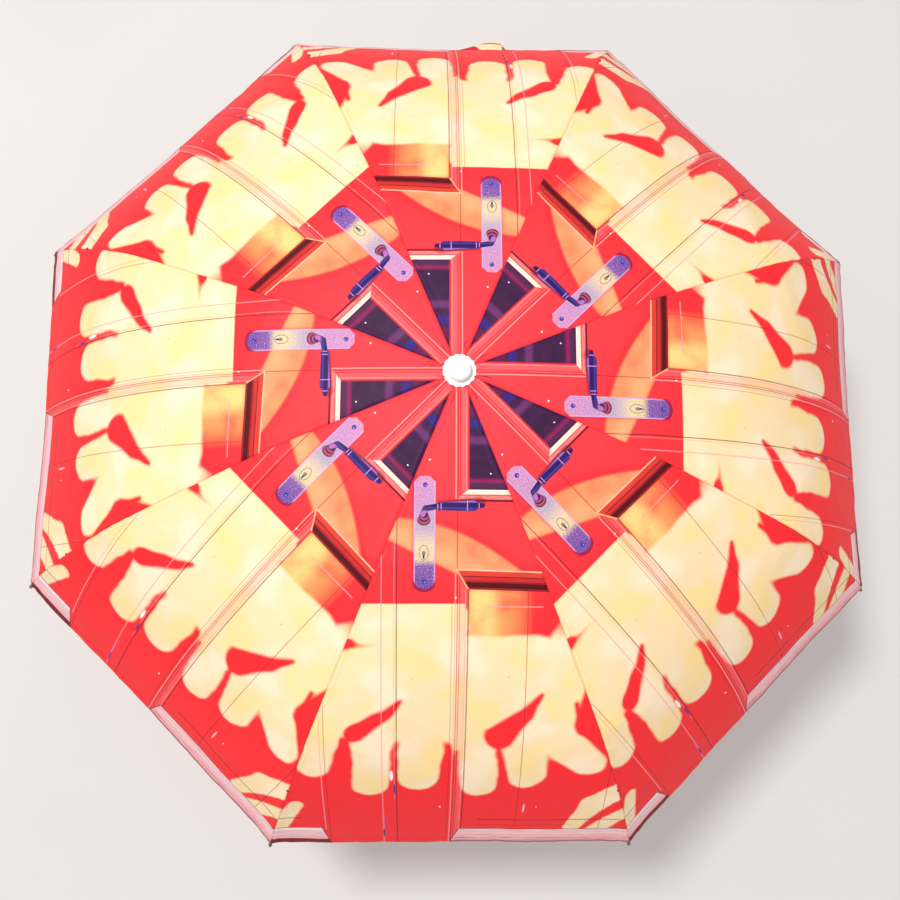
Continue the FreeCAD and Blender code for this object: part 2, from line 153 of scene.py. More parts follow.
# ---- shader maths ----
class Wire:
    """A number socket; arithmetic on it adds Math nodes to its material."""

    def __init__(self, finish, socket):
        self.finish = finish
        self.socket = socket

    def math(self, operation, *values):
        inputs = dict(enumerate((self, *values)))
        return Wire(self.finish, self.finish.node("Math", {"operation": operation}, inputs).outputs[0])

    def __add__(self, other):
        return self.math("ADD", other)

    __radd__ = __add__

    def __mul__(self, other):
        return self.math("MULTIPLY", other)

    __rmul__ = __mul__

    def __sub__(self, other):
        return self.math("SUBTRACT", other)

    def __rsub__(self, other):
        return self.math("MULTIPLY_ADD", -1.0, other)

    def __truediv__(self, other):
        return self.math("DIVIDE", other)

    def __pow__(self, other):
        return self.math("POWER", other)

    def __abs__(self):
        return self.math("ABSOLUTE")

    def least(self, other):
        return self.math("MINIMUM", other)

    def most(self, other):
        return self.math("MAXIMUM", other)

    def clip(self):
        return self.most(0.0).least(1.0)

    def sine(self):
        return self.math("SINE")

    def above(self, edge, soft):
        """0 below edge, 1 above it, with a soft step."""
        ends = {"Value": self, "From Min": edge - soft, "From Max": edge + soft}
        node = self.finish.node("MapRange", {"interpolation_type": "SMOOTHSTEP"}, ends)
        return Wire(self.finish, node.outputs[0])

    def below(self, edge, soft):
        """1 below edge, 0 above it."""
        ends = {"Value": self, "From Min": edge - soft, "From Max": edge + soft}
        ends.update({"To Min": 1.0, "To Max": 0.0})
        node = self.finish.node("MapRange", {"interpolation_type": "SMOOTHSTEP"}, ends)
        return Wire(self.finish, node.outputs[0])

    def within(self, low, high, soft):
        return self.above(low, soft) * self.below(high, soft)

    def line(self, at, half_width, soft):
        return abs(self - at).below(half_width, soft)


def paint(text):
    """A linear colour from six hex digits."""
    parts = [int(text[i:i + 2], 16) / 255 for i in (0, 2, 4)]
    linear = [c / 12.92 if c <= 0.04045 else ((c + 0.055) / 1.055) ** 2.4 for c in parts]
    return (*linear, 1.0)


class Finish:
    """One material, its nodes and its Principled shader."""

    def __init__(self, name, **fixed):
        self.material = bpy.data.materials.new(name)
        self.material.use_nodes = True
        self.tree = self.material.node_tree
        self.shader = self.tree.nodes["Principled BSDF"]
        for key, value in fixed.items():
            self.shader.inputs[key.replace("_", " ").title().replace("Ior", "IOR")].default_value = value

    def node(self, kind, settings=None, inputs=None):
        made = self.tree.nodes.new("ShaderNode" + kind)
        for key, value in (settings or {}).items():
            if key == "stops":
                self.fill_ramp(made, value)
            else:
                setattr(made, key, value)
        for key, value in (inputs or {}).items():
            if isinstance(value, Wire):
                self.tree.links.new(value.socket, made.inputs[key])
            elif isinstance(value, bpy.types.NodeSocket):
                self.tree.links.new(value, made.inputs[key])
            else:
                made.inputs[key].default_value = value
        return made

    def fill_ramp(self, ramp, stops):
        points = ramp.color_ramp.elements
        while len(points) < len(stops):
            points.new(0.5)
        for point, (place, colour) in zip(points, stops):
            point.position = place
            point.color = colour

    def number(self, socket):
        return Wire(self, socket)

    def place(self):
        return self.node("TexCoord").outputs["Object"]

    def parts(self, vector):
        split = self.node("SeparateXYZ", None, {0: vector})
        return [self.number(split.outputs[i]) for i in range(3)]

    def join(self, x, y, z=0.0):
        return self.node("CombineXYZ", None, {0: x, 1: y, 2: z}).outputs[0]

    def noise(self, vector, scale, detail=2.0, roughness=0.5):
        values = {"Vector": vector, "Scale": scale, "Detail": detail, "Roughness": roughness}
        return self.number(self.node("TexNoise", None, values).outputs["Fac"])

    def cells(self, vector, scale):
        values = {"Vector": vector, "Scale": scale}
        return self.number(self.node("TexVoronoi", None, values).outputs["Distance"])

    def mix(self, factor, first, second):
        """first where factor is 0, second where it is 1."""
        return self.node("Mix", {"data_type": "RGBA"}, {0: factor, 6: first, 7: second}).outputs[2]

    def bump(self, height, strength, distance):
        made = self.node("Bump", None, {"Height": height, "Strength": strength, "Distance": distance})
        self.link(made.outputs[0], "Normal")

    def link(self, value, name):
        socket = value.socket if isinstance(value, Wire) else value
        self.tree.links.new(socket, self.shader.inputs[name])


# ---- shapes of the print, in millimetres: e across a gore, s outwards from the crown ----
PRINT_END = PRINT_LENGTH * 1000
PANE_S = (14.0, 105.0)  # the window's dark pane
PANE_E = -9.2
PLATE_E = 29.8  # the handle plate's middle, half width and length
PLATE_S = 143.3
PLATE_HALF = 9.3
RAIL_S = 113.5  # where the window's outer rail ends
MOULDING_S = 178.0  # where the bar starts again, outside the dark moulding
CREAM_S = 204.5  # straight inner edge of the cream paint
BEAM_E = (-62.0, 66.0)
HEM_S = 478.6  # inner edge of the pink moulding, left and right, and the ends of its two stretches
HEM_S_RIGHT = 473.4
HEM_LEFT = -7.0
HEM_RIGHT = 127.5


def ellipse(e, s, at, size, soft):
    """1 inside; at and size are (e, s) pairs, soft a share of the size."""
    x = (e - at[0]) / size[0]
    y = (s - at[1]) / size[1]
    return (x * x + y * y).math("SQRT").below(1.0, soft)


def capsule(e, s, start, end, r0, r1):
    """Distance to a round-ended stroke whose radius goes from r0 to r1."""
    run = (end[0] - start[0], end[1] - start[1])
    size = run[0] ** 2 + run[1] ** 2
    x = e - start[0]
    y = s - start[1]
    share = (x * (run[0] / size) + y * (run[1] / size)).clip()
    dx = x - share * run[0]
    dy = y - share * run[1]
    return (dx * dx + dy * dy).math("SQRT") - (share * (r1 - r0) + r0)


SPRAY = (  # rounded strokes of spray that melt into a cloud: start, end, radii
    ((-64, 296), (84, 296), 46, 42), ((-104, 262), (-84, 330), 16, 21),
    ((-84, 330), (-122, 366), 20, 16), ((-60, 320), (-68, 384), 22, 18),
    ((-14, 320), (-22, 398), 22, 16), ((30, 320), (34, 386), 20, 18),
    ((74, 320), (78, 398), 20, 15), ((112, 300), (130, 370), 18, 14),
    ((-72, 256), (36, 256), 22, 22), ((36, 256), (104, 266), 20, 19),
    ((-96, 226), (-88, 262), 9, 14), ((8, 222), (80, 222), 19, 19),
)
GAPS = (  # teardrops left bare inside the cloud
    ((-76, 290), (-40, 336), 3, 14), ((52, 296), (90, 332), 3, 11), ((0, 352), (4, 410), 2, 10),
    ((-110, 300), (-114, 328), 3, 5), ((26, 214), (38, 216), 2, 2),
)
SWASHES = (  # loose strokes near the hem
    ((-170, 392), (-136, 430), 9, 13), ((-136, 430), (-118, 474), 13, 8),
    ((-176, 432), (-142, 480), 7, 9), ((150, 430), (172, 474), 7, 10),
)


def strokes(f, e, s, rows, melt):
    """Distance to a set of strokes that melt together where they meet."""
    distance = None
    for start, end, r0, r1 in rows:
        d = capsule(e, s, start, end, r0, r1)
        distance = d if distance is None else distance.math("SMOOTH_MIN", d, melt)
    return distance


def spray_mask(f, e, s):
    """The soft-edged cream paint: a cloud, a straight-edged block inside it and loose strokes."""
    rough = f.noise(f.join(e, s), 0.12, 3.0) - 0.5
    wander = f.noise(f.join(e, s), 0.018, 2.0) - 0.5
    x = e + wander * 14.0
    y = s + wander * -10.0
    painted = strokes(f, x, y, SPRAY, 7.0)
    bare = strokes(f, x, y, GAPS, 4.0) * -1.0
    cloud = (painted.math("SMOOTH_MAX", bare, 5.0) + rough * 1.6 - 0.5).below(0.0, 2.2)
    cloud = cloud * s.above(CREAM_S, 0.8) * (e.above(-9.0, 1.5).most(s.above(226.0, 12.0)))
    solid = s.within(CREAM_S, 236.0, 0.8) * e.above(-6.5, 0.8)
    swash = (strokes(f, e, y, SWASHES, 6.0) + rough * 2.0).below(0.0, 1.6)
    return cloud.most(solid).most(swash)


def boards(f, e, s, colour):
    """Upright board joints and the moulded bar in the middle of the gore."""
    grain = f.noise(f.join(e * 0.6, s * 0.05), 1.0, 3.0)
    gap = 1 - s.within(RAIL_S, MOULDING_S, 0.6)
    bar = e.within(-8.4, 2.9, 0.4) * gap
    light = bar * e.within(-6.6, -1.6, 0.8) * (grain * 0.8 + 0.1) * 0.55
    colour = f.mix(light, colour, paint("FF8A8A"))
    lines = (  # place across, half width, from, to, colour, strength
        (-145.0, 0.35, 360.0, 520.0, "8C1220", 0.8), (-61.5, 0.35, 192.0, 478.0, "A01522", 0.8),
        (-8.8, 0.6, 8.0, 520.0, "7A0E1E", 0.75), (-6.6, 0.45, 8.0, 520.0, "FF9E9A", 0.7),
        (-1.3, 0.4, 8.0, 520.0, "C41C2C", 0.8), (-0.2, 0.35, 8.0, 520.0, "FF8A88", 0.5),
        (0.7, 0.45, 8.0, 520.0, "A51626", 0.75), (2.6, 0.55, 8.0, 520.0, "FFAAA4", 0.8),
        (5.4, 0.3, 190.0, 520.0, "A51826", 0.7), (53.8, 0.45, 122.0, 520.0, "4E0A20", 0.9),
        (56.0, 0.4, 122.0, 420.0, "FF9A90", 0.5), (67.2, 0.5, 150.0, 520.0, "FF9AA0", 0.8),
        (119.5, 0.35, 300.0, 520.0, "8C1220", 0.7), (123.5, 0.5, 300.0, 478.0, "FFA8AC", 0.7),
    )
    for at, half_width, s0, s1, shade, amount in lines:
        mask = e.line(at, half_width, 0.35) * s.within(s0, s1, 1.5)
        mask = mask * (grain * 0.7 + 0.55).clip() * amount
        on_bar = s0 < RAIL_S
        colour = f.mix(mask * gap if on_bar else mask, colour, paint(shade))
    middle = e.line(1.2, 0.4, 0.3) * s.within(RAIL_S, 176.0, 1.0) * 0.75
    return f.mix(middle, colour, paint("8C1422"))


def sun_patches(f, e, s, colour):
    """Amber light that falls across the door between the moulding and the handle plate."""
    speck = f.noise(f.join(e, s), 1.3, 4.0, 0.7)
    cloud = f.noise(f.join(e, s), 0.05, 2.0)
    low = (e - 60.0) * (e - 60.0) * 0.0035 + 130.0
    beam = (s - low).above(0.0, 2.2) * (s + (e - 2.0).most(0.0) * 0.5).below(MOULDING_S, 2.2)
    beam = beam * e.within(*BEAM_E, 2.0)
    colour = f.mix(beam * (speck * 1.1 + cloud * 0.9 - 0.2).clip(), colour, paint("FB9A66"))
    pale = (s + (e - 2.0) * 0.45).within(160.0, 176.0, 7.0) * beam
    colour = f.mix(pale * (speck * 1.6 - 0.3).clip() * 0.7, colour, paint("FFC48C"))
    shade = (s - low).within(-7.0, -1.0, 3.0) * e.within(*BEAM_E, 4.0)
    return f.mix(shade * 0.35, colour, paint("D81F2C"))


def amber_panel(f, e, s, colour):
    """The recessed panel whose paint is thin, left of the bar and outside the moulding."""
    cloud = f.noise(f.join(e, s), 0.035, 3.0)
    spot = f.noise(f.join(e, s), 1.1, 5.0, 0.75)
    field = s.within(192.0, 262.0, 4.0) * e.within(-66.0, -9.3, 2.5)
    warm = field * (cloud * 2.2 - 0.15).clip() * (spot * 1.7 - 0.15).clip() * e.above(-56.0, 16.0)
    colour = f.mix(warm, colour, paint("F8B068"))
    bright = field * e.within(-34.0, -9.0, 9.0)
    bright = bright * (spot * 2.2 - 0.35).clip() * (cloud * 1.2 + 0.3).clip()
    colour = f.mix(bright, colour, paint("FFDE8C"))
    colour = f.mix(field * (0.42 - spot).clip() * 2.6, colour, paint("C4502E"))
    stripe = s.line(207.0, 0.5, 0.4) * e.within(-75.0, -26.0, 1.0)
    return f.mix(stripe * 0.8, colour, paint("FF9FA0"))


def window(f, e, s, colour):
    """The dark pane beside the bar, its outer rail and its mitre."""
    speckle = f.noise(f.join(e, s), 1.3, 4.0, 0.7)
    drift = f.noise(f.join(e * 0.4, s), 0.12, 2.0)
    pane = s.within(*PANE_S, 0.5) * e.below(PANE_E, 0.35)
    tone = f.node(
        "ValToRGB",
        {"stops": [(0.15, paint("1E0828")), (0.5, paint("3A1240")), (0.95, paint("6E3068"))]},
        {0: (speckle - 0.5) * 2.6 + drift * 0.3 + 0.3},
    ).outputs[0]
    colour = f.mix(pane, colour, tone)
    for at, half_width, shade, amount in (
        (97.5, 1.8, "B01C64", 0.85), (83.0, 5.0, "2E1036", 0.5), (62.0, 3.4, "8E4486", 0.6),
        (47.0, 3.6, "2C2A9A", 0.75), (36.0, 5.0, "7C1D5C", 0.6), (101.8, 2.0, "5B2B52", 0.7),
    ):
        band = pane * s.line(at, half_width, 2.0) * (speckle * 1.6 - 0.1).clip() * amount
        colour = f.mix(band, colour, paint(shade))
    mitre = (e + (s - 105.3) * -1.25).below(-8.0, 0.4)
    streak = f.noise(f.join(e * 0.15, s * 2.2), 1.0, 3.0)
    for low, high, dull, bright in (
        (105.3, 109.4, "FFC9B4", "FFE8D4"), (109.4, 110.3, "B4283C", "D24A58"),
        (110.3, 113.4, "F4605F", "FF908A"),
    ):
        strip = s.within(low, high, 0.3) * mitre
        colour = f.mix(strip, colour, f.mix(streak.above(0.5, 0.12), paint(dull), paint(bright)))
    colour = f.mix(s.line(105.6, 0.35, 0.25) * mitre, colour, paint("FBEFEA"))
    shadow = s.line(114.6, 0.9, 0.6) * e.below(-2.0, 1.0)
    return f.mix(shadow, colour, paint("640A24"))


def handle_plate(f, e, s, colour):
    """Long door plate with rounded outer end, chamfered inner end, keyhole and two screws."""
    x = abs(e - PLATE_E)
    y = s - PLATE_S
    past_end = (y.most(0.0) - 39.0).most(0.0)
    round_end = (x * x + past_end ** 2.0).math("SQRT").below(PLATE_HALF, 0.35)
    straight_part = x.below(PLATE_HALF, 0.35) * y.within(-50.0, 39.0, 0.3)
    chamfer = (x + (y * -1.0 - 44.8).most(0.0)).below(9.6, 0.4)
    plate = (straight_part * chamfer).most(round_end * y.above(30.0, 0.5))
    shadow = abs(e - 30.6).below(10.4, 1.2) * y.within(-50.0, 49.0, 1.5)
    colour = f.mix(shadow * (1 - plate) * 0.35, colour, paint("7A0E3A"))
    arch = ellipse(e, s, (29.8, 186.0), (9.8, 8.4), 0.08) * s.above(183.0, 0.5)
    colour = f.mix(arch, colour, paint("A01840"))
    mottle = f.noise(f.join(e, s), 0.9, 4.0, 0.65)
    tone = f.node(
        "ValToRGB",
        {
            "stops": [
                (0.0, paint("D08CB4")), (0.24, paint("C48CBC")), (0.46, paint("B8A4B8")),
                (0.62, paint("EDD09A")), (0.72, paint("E4C890")), (0.78, paint("7C4A9C")),
                (1.0, paint("5F3A94")),
            ]
        },
        {0: (s - 93.5) / 100.0 + (mottle - 0.5) * 0.12},
    ).outputs[0]
    tone = f.mix((mottle - 0.5).clip() * 3.0, tone, paint("80509E"))
    tone = f.mix((0.48 - mottle).clip() * 3.2, tone, paint("F2D9E6"))
    colour = f.mix(plate, colour, tone)
    rim = plate * x.above(8.2, 0.35)
    colour = f.mix(rim * 0.8, colour, paint("CBA6D8"))
    for at in ((30.0, 185.0), (29.5, 101.0)):
        colour = f.mix(ellipse(e, s, at, (2.1, 2.1), 0.2), colour, paint("3B34A0"))
        glint = ellipse(e, s, (at[0] - 0.5, at[1] + 0.6), (0.7, 0.7), 0.4)
        colour = f.mix(glint, colour, paint("9A8CE0"))
    keyhole = (30.4, 159.8)
    ring = ellipse(e, s, keyhole, (4.3, 6.6), 0.08) * (1 - ellipse(e, s, keyhole, (3.7, 6.0), 0.08))
    colour = f.mix(ring, colour, paint("6F5A86"))
    barrel = ellipse(e, s, (30.4, 162.6), (3.0, 3.0), 0.12)
    colour = f.mix(barrel, colour, paint("D9CBB0"))
    slit = ellipse(e, s, (30.4, 163.4), (0.8, 1.9), 0.2)
    slit = slit.most(ellipse(e, s, (30.4, 160.6), (1.6, 2.2), 0.25) * 0.7)
    return f.mix(slit, colour, paint("2A1030"))


def lever(f, e, s, colour):
    """The turned lever handle: rose, bent neck, collar, swelling grip and end knob."""
    for at, size, shade in (
        ((30.5, 131.8), (5.8, 4.6), "6A1836"), ((30.4, 130.6), (5.2, 4.4), "B0506E"),
        ((30.3, 129.4), (4.6, 4.0), "5A1440"), ((30.2, 128.2), (4.0, 3.6), "A84E78"),
        ((30.1, 127.0), (3.4, 3.2), "4A1250"),
    ):
        colour = f.mix(ellipse(e, s, at, size, 0.1), colour, paint(shade))
    shadow = capsule(e, s, (-19.0, 116.2), (16.0, 117.8), 4.4, 3.6).below(0.0, 1.0)
    colour = f.mix(shadow * 0.6, colour, paint("6C0A24"))
    neck = capsule(e, s, (31.5, 127.0), (29.0, 121.6), 2.4, 2.5)
    neck = neck.least(capsule(e, s, (29.0, 121.6), (17.0, 119.4), 2.5, 2.3))
    grip = capsule(e, s, (-12.0, 118.9), (14.0, 119.6), 5.0, 3.5)
    grip = grip.least(capsule(e, s, (-20.6, 118.9), (-12.0, 118.9), 1.9, 3.9))
    collar = (abs(e - 17.0) - 1.0).most(abs(s - 119.6) - 4.4)
    body = neck.least(grip).least(collar)
    mask = body.below(0.0, 0.3)
    across = (s - 119.2) / 5.0
    tone = f.node(
        "ValToRGB",
        {
            "stops": [
                (0.0, paint("8A4A98")), (0.14, paint("B068B0")), (0.26, paint("2A1468")),
                (0.55, paint("1E0E58")), (0.72, paint("4A3490")), (0.84, paint("26145E")),
                (1.0, paint("B46AB4")),
            ]
        },
        {0: (across * 0.5 + 0.5).clip()},
    ).outputs[0]
    colour = f.mix(mask, colour, tone)
    for at in (-7.4, 15.6, 18.4, -17.6):
        colour = f.mix(mask * e.line(at, 0.35, 0.25), colour, paint("DE92CC"))
    edge = body.within(-0.5, 0.25, 0.2)
    return f.mix(edge * 0.7, colour, paint("1B0B48"))


def dark_moulding(f, e, s, colour):
    """The deep stepped moulding that closes the panel, from the left seam to the bar."""
    y = s - (182.0 - (e + 60.0) * 0.03)
    side = (e + (y + 6.0) * 0.62).below(2.4, 0.4)
    worn = f.noise(f.join(e * 0.06, s * 0.7), 1.0, 3.0)
    for low, high, shade in (
        (-6.3, -5.0, "FFC2A6"), (-5.0, -0.6, "E2402F"), (-0.6, 0.3, "64101A"), (0.3, 3.4, "CC2E2E"),
        (3.4, 4.8, "9A1824"), (4.8, 9.8, "560812"), (9.8, 11.2, "8E1A1E"),
    ):
        tone = f.mix((worn - 0.35).clip() * 0.5, paint(shade), paint("3A0610"))
        colour = f.mix(y.within(low, high, 0.35) * side, colour, tone)
    corner = y.within(-6.3, 11.0, 0.5) * (e + (y + 6.0) * 0.62).line(1.8, 0.7, 0.4)
    return f.mix(corner * 0.85, colour, paint("FFB882"))


def hem_moulding(f, e, s, colour):
    """Pink striped moulding on two stretches of the hem, with mitred ends and scratch lines."""
    waver = f.noise(f.join(e * 0.02, s * 0.02), 1.0, 2.0) * 4.0 - 2.0
    broken = f.noise(f.join(e * 0.05, s * 0.5), 1.0, 3.0)
    left_end = e - (s - 478.0) * 0.3
    right_end = e + (s - 474.0) * 0.22
    left = left_end.below(HEM_LEFT, 0.4) * s.above(HEM_S, 0.4)
    right = right_end.above(HEM_RIGHT, 0.4) * s.above(HEM_S_RIGHT, 0.4)
    y = s + waver * 0.6
    pink = f.mix((s - 479.0) / 24.0, paint("FFE0E2"), paint("FFBFC6"))
    for at, half_width, shade, amount in (
        (481.4, 0.6, "C23A52", 0.8), (484.2, 0.35, "8E1A32", 0.75), (486.4, 0.8, "F0808E", 0.7),
        (489.6, 0.3, "A02840", 0.7), (492.2, 0.7, "E0566C", 0.8), (495.2, 0.4, "7C1228", 0.8),
        (498.4, 1.0, "D83A52", 0.85), (501.6, 0.5, "6A0C20", 0.85), (504.6, 1.4, "C22038", 0.7),
    ):
        stripe = y.line(at, half_width, 0.3) * (broken * 2.4 - 0.45).clip() * amount
        pink = f.mix(stripe, pink, paint(shade))
    colour = f.mix(left, colour, pink)
    colour = f.mix(right, colour, pink)
    colour = f.mix(right * s.above(499.0, 0.5), colour, paint("7A0A22"))
    colour = f.mix(left * s.above(505.0, 0.5) * 0.8, colour, paint("8C1428"))
    edge = s.line(HEM_S, 0.5, 0.3) * e.below(HEM_LEFT, 0.6)
    edge = edge.most(s.line(473.6, 0.6, 0.3) * e.above(127.0, 0.6))
    mitre = left_end.line(HEM_LEFT, 0.5, 0.3) * s.above(HEM_S, 0.4)
    mitre = mitre.most(right_end.line(HEM_RIGHT, 0.5, 0.3) * s.above(HEM_S_RIGHT, 0.4))
    colour = f.mix(edge.most(mitre) * 0.9, colour, paint("4C0816"))
    thin = s.line(459.0, 0.6, 0.35) * e.within(-190.0, -25.0, 1.0)
    thin = thin.most(s.line(454.0, 0.6, 0.35) * e.above(146.0, 1.0))
    faint = (s - (e + 25.0) * 0.02).line(470.5, 0.4, 0.3) * e.within(-120.0, -22.0, 2.0) * 0.6
    thin = thin.most(faint)
    return f.mix(thin * 0.85, colour, paint("5A0818"))


def chips(f, e, s, colour):
    """Chipped paint: small blue and white flakes along the boards."""
    flakes = (
        ((66.8, 486.0), (0.9, 9.0), "2C2A8C"), ((66.4, 462.0), (0.5, 16.0), "D86BB0"),
        ((55.8, 404.0), (1.0, 8.0), "4A3A8E"), ((58.6, 384.0), (1.6, 7.0), "FFF0EE"),
        ((-6.2, 380.0), (0.6, 4.0), "FFE3E0"), ((-68.0, 436.0), (0.9, 8.0), "FFB9C0"),
        ((12.6, 434.0), (0.8, 1.6), "FFD9DC"), ((25.6, 79.0), (0.9, 0.8), "FFE9E6"),
        ((-27.8, 91.0), (0.7, 0.6), "FFFFFF"), ((-80.0, 434.0), (0.6, 1.2), "FFD0D4"),
        ((2.2, 199.0), (0.7, 1.2), "FFE6DC"), ((158.0, 450.0), (0.8, 0.8), "FFFFFF"),
    )
    ragged = f.noise(f.join(e, s), 0.7, 2.0)
    for at, size, shade in flakes:
        mask = ellipse(e + (ragged - 0.5) * 1.6, s, at, size, 0.3)
        colour = f.mix(mask, colour, paint(shade))
    dots = f.cells(f.join(e, s), 0.034).below(0.018, 0.006)
    return f.mix(dots * 0.7, colour, paint("7C1020"))


def print_colour(f, e, s):
    """The whole pattern of one gore, painted layer on layer."""
    broad = f.noise(f.join(e, s), 0.012, 2.0)
    fine = f.noise(f.join(e, s), 0.5, 3.0)
    red = f.mix(s.below(170.0, 130.0), paint("FB2A31"), paint("FF3C45"))
    red = f.mix((broad - 0.35).clip() * 0.5, red, paint("F8262E"))
    red = f.mix((fine - 0.5).clip() * 0.25, red, paint("FF6A66"))
    curl = ellipse(e, s, (7.6, 22.0), (3.2, 6.6), 0.05)
    curl = curl * (1 - ellipse(e, s, (8.1, 22.0), (2.8, 6.2), 0.05))
    colour = f.mix(curl * s.above(20.0, 3.0) * 0.8, red, paint("3A0A20"))
    colour = amber_panel(f, e, s, colour)
    colour = sun_patches(f, e, s, colour)
    cream = f.mix(fine.above(0.5, 0.3), paint("F9D9AC"), paint("FBE0B6"))
    glow = f.noise(f.join(e, s), 0.022, 2.0)
    cream = f.mix(glow.above(0.56, 0.09) * 0.55, cream, paint("FFDC84"))
    cream = f.mix(glow.below(0.42, 0.08) * 0.5, cream, paint("FDEBD2"))
    colour = f.mix(spray_mask(f, e, s), colour, cream)
    colour = boards(f, e, s, colour)
    colour = window(f, e, s, colour)
    colour = dark_moulding(f, e, s, colour)
    colour = handle_plate(f, e, s, colour)
    colour = lever(f, e, s, colour)
    colour = hem_moulding(f, e, s, colour)
    return chips(f, e, s, colour)


def stitches(f, e, s):
    """Dashes of thread beside each seam and along the hem's fold; also the distance from the seam."""
    seam = f.number(f.node("Attribute", {"attribute_name": "from_seam"}).outputs["Fac"]) * 1000.0
    dash = (s * 2.6).sine().above(-0.35, 0.25)
    dash_round = (e * 2.6).sine().above(-0.35, 0.25)
    beside = seam.line(4.6, 0.22, 0.14) * dash * s.above(12.0, 1.0)
    hem = s.line(PRINT_END - 7.5, 0.22, 0.14) * dash_round
    return beside.most(hem), seam


def cloth_weave(f, e, s, thread):
    """Fine plain weave, soft unevenness and the thread's dimples, as a height."""
    weave = (e * 7.5).sine() * (s * 7.5).sine()
    return weave * 0.4 + f.noise(f.join(e, s), 0.8, 3.0) * 0.9 - thread * 1.2


def cloth_places(f):
    """The print's coordinates e and s, in millimetres."""
    u, v, _ = f.parts(f.node("UVMap", {"uv_map": "print_map"}).outputs[0])
    return (u - UV_SHIFT) * 1000.0, v * 1000.0


def canopy_finish():
    """The cloth's printed upper side."""
    f = Finish("printed_canopy_cloth", specular_ior_level=0.16)
    e, s = cloth_places(f)
    thread, seam = stitches(f, e, s)
    colour = print_colour(f, e, s)
    # painted shade: the cloth is darkened right beside each seam, in the crease of the seam's fold
    seam_crease_shade = seam.below(1.2, 0.9) * 0.35
    colour = f.mix(seam_crease_shade, colour, f.mix(0.55, colour, paint("3C0A14")))
    colour = f.mix(thread * 0.4, colour, f.mix(0.6, colour, paint("70101E")))
    f.link(colour, "Base Color")
    f.link(f.noise(f.join(e, s), 0.06, 2.0) * 0.14 + 0.46, "Roughness")
    f.bump(cloth_weave(f, e, s, thread), 0.12, 0.0004)
    return f.material


def lining_finish():
    """The cloth's underside, where the print shows through softly."""
    f = Finish("canopy_cloth_underside", specular_ior_level=0.15)
    e, s = cloth_places(f)
    thread, seam = stitches(f, e, s)
    colour = boards(f, e, s, f.mix(s.below(170.0, 130.0), paint("DD3A40"), paint("E64C50")))
    colour = f.mix(spray_mask(f, e, s) * 0.75, colour, paint("EDC49A"))
    pane = s.within(*PANE_S, 1.0) * e.below(PANE_E, 0.8)
    colour = f.mix(pane * 0.8, colour, paint("6A3560"))
    plate = abs(e - PLATE_E).below(PLATE_HALF, 1.0) * s.within(94.0, 192.0, 1.5)
    colour = f.mix(plate * 0.8, colour, paint("B98DB0"))
    hem = s.above(479.0, 1.0) * e.below(HEM_LEFT, 1.0)
    colour = f.mix(hem * 0.7, colour, paint("F0A0A4"))
    turned_in = seam.below(4.0, 0.15).most(s.above(PRINT_END - 7.0, 0.15))
    colour = f.mix(turned_in * 0.5, colour, paint("F0474C"))
    colour = f.mix(thread * 0.7, colour, paint("7A1220"))
    f.link(colour, "Base Color")
    f.link(f.noise(f.join(e, s), 0.1, 2.0) * 0.1 + 0.6, "Roughness")
    f.bump(cloth_weave(f, e, s, thread) + turned_in * 1.5, 0.15, 0.0004)
    return f.material


# ---- canopy ----
def gore_axes(gore):
    """Outward and sideways directions of a gore; sideways is to the right looking outwards."""
    angle = STEP * gore
    out = Vector((math.cos(angle), math.sin(angle), 0))
    return out, Vector((out.y, -out.x, 0))


def cloth_base(gore, t, r):
    """A point of the smooth cloth: t from -1 at the left seam to 1 at the right one."""
    out, side = gore_axes(gore)
    point = out * (r * math.cos(HALF)) + side * (t * r * math.sin(HALF))
    point.z = cloth_height(r, abs(t))
    return point


def relief(gore, t, r):
    """How far the cloth stands off its smooth shape: seam fold, puckers, hem roll and slack."""
    e = t * r * math.sin(HALF)
    from_seam = (1 - abs(t)) * r * math.sin(HALF) * 1000
    from_hem = (HEM_R - r) * 1150
    fold = 0.55 * math.exp(-((from_seam - 3.0) / 1.8) ** 2) - 0.35 * math.exp(-((from_seam / 0.9) ** 2))
    phase = 2.1 * gore + (0.0 if t > 0 else 1.7)
    length = arc(r) * 1000
    pucker = 0.22 * math.sin(length / 2.6 + phase + math.sin(length / 17)) * math.exp(-from_seam / 7)
    hem = 0.5 * math.exp(-max(0.0, from_hem - 5.5) ** 2 / 1.2) if from_hem > 0 else 0.5
    ripple = 0.25 * math.sin(e * 900 + phase) * math.exp(-from_hem / 14)
    slack = noise.noise(Vector((e * 13 + gore * 7.3, arc(r) * 6, gore * 3.1))) * 1.5
    slack += noise.noise(Vector((e * 45 + gore * 5.1, arc(r) * 22, 4.0))) * 0.5
    calm = 1 - math.exp(-from_seam / 9)
    return (fold + pucker + hem + ripple + slack * calm * min(1.0, r / 0.06)) / 1000


def cloth_point(gore, t, r):
    """The finished cloth surface."""
    here = cloth_base(gore, t, r)
    along = cloth_base(gore, t, r + 0.0005) - cloth_base(gore, t, r - 0.0005)
    side = gore_axes(gore)[1]
    normal = side.cross(along).normalized()
    return here + normal * relief(gore, t, r)


def grid_piece(name, columns, rows, place):
    """A grid; place(a, b) gives each corner's point, print coordinate and distance from the seam."""
    bpy.ops.object.select_all(action="DESELECT")
    bpy.ops.mesh.primitive_grid_add(x_subdivisions=columns, y_subdivisions=rows, size=1)
    piece = bpy.context.object
    piece.name = name
    mesh = piece.data
    places = [place(vertex.co.x + 0.5, vertex.co.y + 0.5) for vertex in mesh.vertices]
    distance = mesh.attributes.new("from_seam", "FLOAT", "POINT")
    for vertex, (point, _, seam) in zip(mesh.vertices, places):
        vertex.co = point
        distance.data[vertex.index].value = seam
    prints = mesh.uv_layers[0]
    prints.name = "print_map"
    for loop in mesh.loops:
        prints.data[loop.index].uv = places[loop.vertex_index][1]
    return piece


